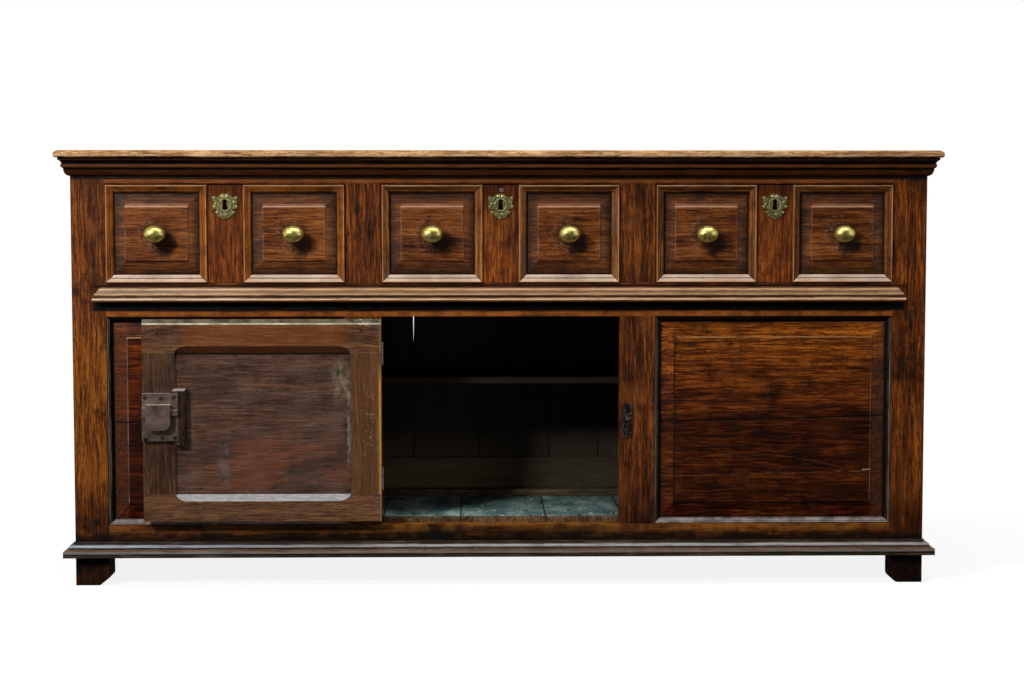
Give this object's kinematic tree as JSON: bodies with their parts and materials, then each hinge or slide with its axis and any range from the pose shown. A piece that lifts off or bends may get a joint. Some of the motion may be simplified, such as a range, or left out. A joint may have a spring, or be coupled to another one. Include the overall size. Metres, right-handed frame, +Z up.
{
  "type": "kitchen dresser base",
  "caption": "Joined oak dresser base with panelled drawers over a cupboard, egg knobs, mitred mouldings, an open panelled door with iron lock, and square stile feet.",
  "frame": {"origin": "middle of the footprint on the floor, halfway along the width and the depth of the whole part at rest", "axes": "+X to the right along the front, +Y to the back, +Z up; the drawers and the open door face -Y"},
  "size_m": [1.838, 0.4494, 0.9085],
  "materials": {
    "oak_top": "worn and waxed",
    "oak_moulding": "worn and waxed",
    "oak_post": "worn and waxed",
    "oak_rail": "worn and waxed",
    "oak_panel": "worn and waxed",
    "oak_panel_moulding": "worn and waxed",
    "oak_drawer_front": "worn and waxed",
    "oak_drawer_moulding": "worn and waxed",
    "oak_drawer_inside": "worn and waxed",
    "oak_door_upright": "worn and waxed",
    "oak_door_rail": "worn and waxed",
    "oak_door_panel": "worn and waxed",
    "oak_block": "worn and waxed",
    "oak_back": "worn and waxed",
    "oak_inside": "worn and waxed",
    "floor_paint": "flaking paint",
    "brass_knob": "dull old metal",
    "brass_plate": "dull old metal",
    "iron_lock": "dull old metal",
    "iron_fitting": "dull old metal"
  },
  "bodies": {
    "carcass": {"top_boards": "oak_top", "cornice": "oak_moulding", "front_post_left": "oak_post", "front_post_right": "oak_post", "rear_posts": "oak_back", "top_rail": "oak_rail", "middle_rail": "oak_rail", "bottom_rail": "oak_rail", "drawer_muntins": "oak_post", "door_muntins": "oak_post", "waist_moulding": "oak_moulding", "base_moulding": "oak_moulding", "bay_panels": "oak_panel", "bay_mouldings": "oak_panel_moulding", "side_rails": "oak_rail", "side_panels": "oak_panel", "back_boards": "oak_back", "back_rails": "oak_back", "floor_boards": "floor_paint", "shelf": "oak_inside", "bearers": "oak_inside", "drawer_runners": "oak_inside", "hinge_frame_leaves": "iron_fitting", "hinge_pins": "iron_fitting", "turn_button_screw": "iron_fitting"},
    "door": {"door_lock_stile": "oak_door_upright", "door_hinge_stile": "oak_door_upright", "door_rails": "oak_door_rail", "door_panel": "oak_door_panel", "door_moulding": "oak_panel_moulding", "hinge_door_leaves": "iron_fitting", "lock_block": "oak_block", "lock_plate": "iron_lock", "lock_case": "iron_lock"},
    "door_bolt": {"lock_bolt": "iron_lock"},
    "latch": {"turn_button": "iron_fitting"},
    "left_drawer": {"left_drawer_front": "oak_drawer_front", "left_drawer_moulding": "oak_drawer_moulding", "left_drawer_sides": "oak_drawer_inside", "left_drawer_bottom": "oak_drawer_inside", "left_drawer_knobs": "brass_knob", "left_escutcheon": "brass_plate", "left_drawer_lock": "iron_lock"},
    "left_bolt": {"left_drawer_bolt": "iron_lock"},
    "centre_drawer": {"centre_drawer_front": "oak_drawer_front", "centre_drawer_moulding": "oak_drawer_moulding", "centre_drawer_sides": "oak_drawer_inside", "centre_drawer_bottom": "oak_drawer_inside", "centre_drawer_knobs": "brass_knob", "centre_escutcheon": "brass_plate", "centre_drawer_lock": "iron_lock"},
    "centre_bolt": {"centre_drawer_bolt": "iron_lock"},
    "right_drawer": {"right_drawer_front": "oak_drawer_front", "right_drawer_moulding": "oak_drawer_moulding", "right_drawer_sides": "oak_drawer_inside", "right_drawer_bottom": "oak_drawer_inside", "right_drawer_knobs": "brass_knob", "right_escutcheon": "brass_plate", "right_drawer_lock": "iron_lock"},
    "right_bolt": {"right_drawer_bolt": "iron_lock"}
  },
  "joints": [
    {"name": "door_hinge", "type": "hinge", "parent": "carcass", "child": "door", "pos_m": [-0.24775, -0.175, 0.356], "axis": [0, 0, 1], "range_deg": [0, 180]},
    {"name": "door_bolt_slide", "type": "slide", "parent": "door", "child": "door_bolt", "axis": [-1, 0, 0], "range_m": [0, 0.014]},
    {"name": "turn_button_pivot", "type": "hinge", "parent": "carcass", "child": "latch", "pos_m": [0.26455, -0.1733, 0.3455], "axis": [0, 1, 0], "continuous": true},
    {"name": "left_drawer_slide", "type": "slide", "parent": "carcass", "child": "left_drawer", "axis": [0, -1, 0], "range_m": [0, 0.26]},
    {"name": "left_bolt_slide", "type": "slide", "parent": "left_drawer", "child": "left_bolt", "axis": [0, 0, 1], "range_m": [0, 0.012]},
    {"name": "centre_drawer_slide", "type": "slide", "parent": "carcass", "child": "centre_drawer", "axis": [0, -1, 0], "range_m": [0, 0.26]},
    {"name": "centre_bolt_slide", "type": "slide", "parent": "centre_drawer", "child": "centre_bolt", "axis": [0, 0, 1], "range_m": [0, 0.012]},
    {"name": "right_drawer_slide", "type": "slide", "parent": "carcass", "child": "right_drawer", "axis": [0, -1, 0], "range_m": [0, 0.26]},
    {"name": "right_bolt_slide", "type": "slide", "parent": "right_drawer", "child": "right_bolt", "axis": [0, 0, 1], "range_m": [0, 0.012]}
  ]
}
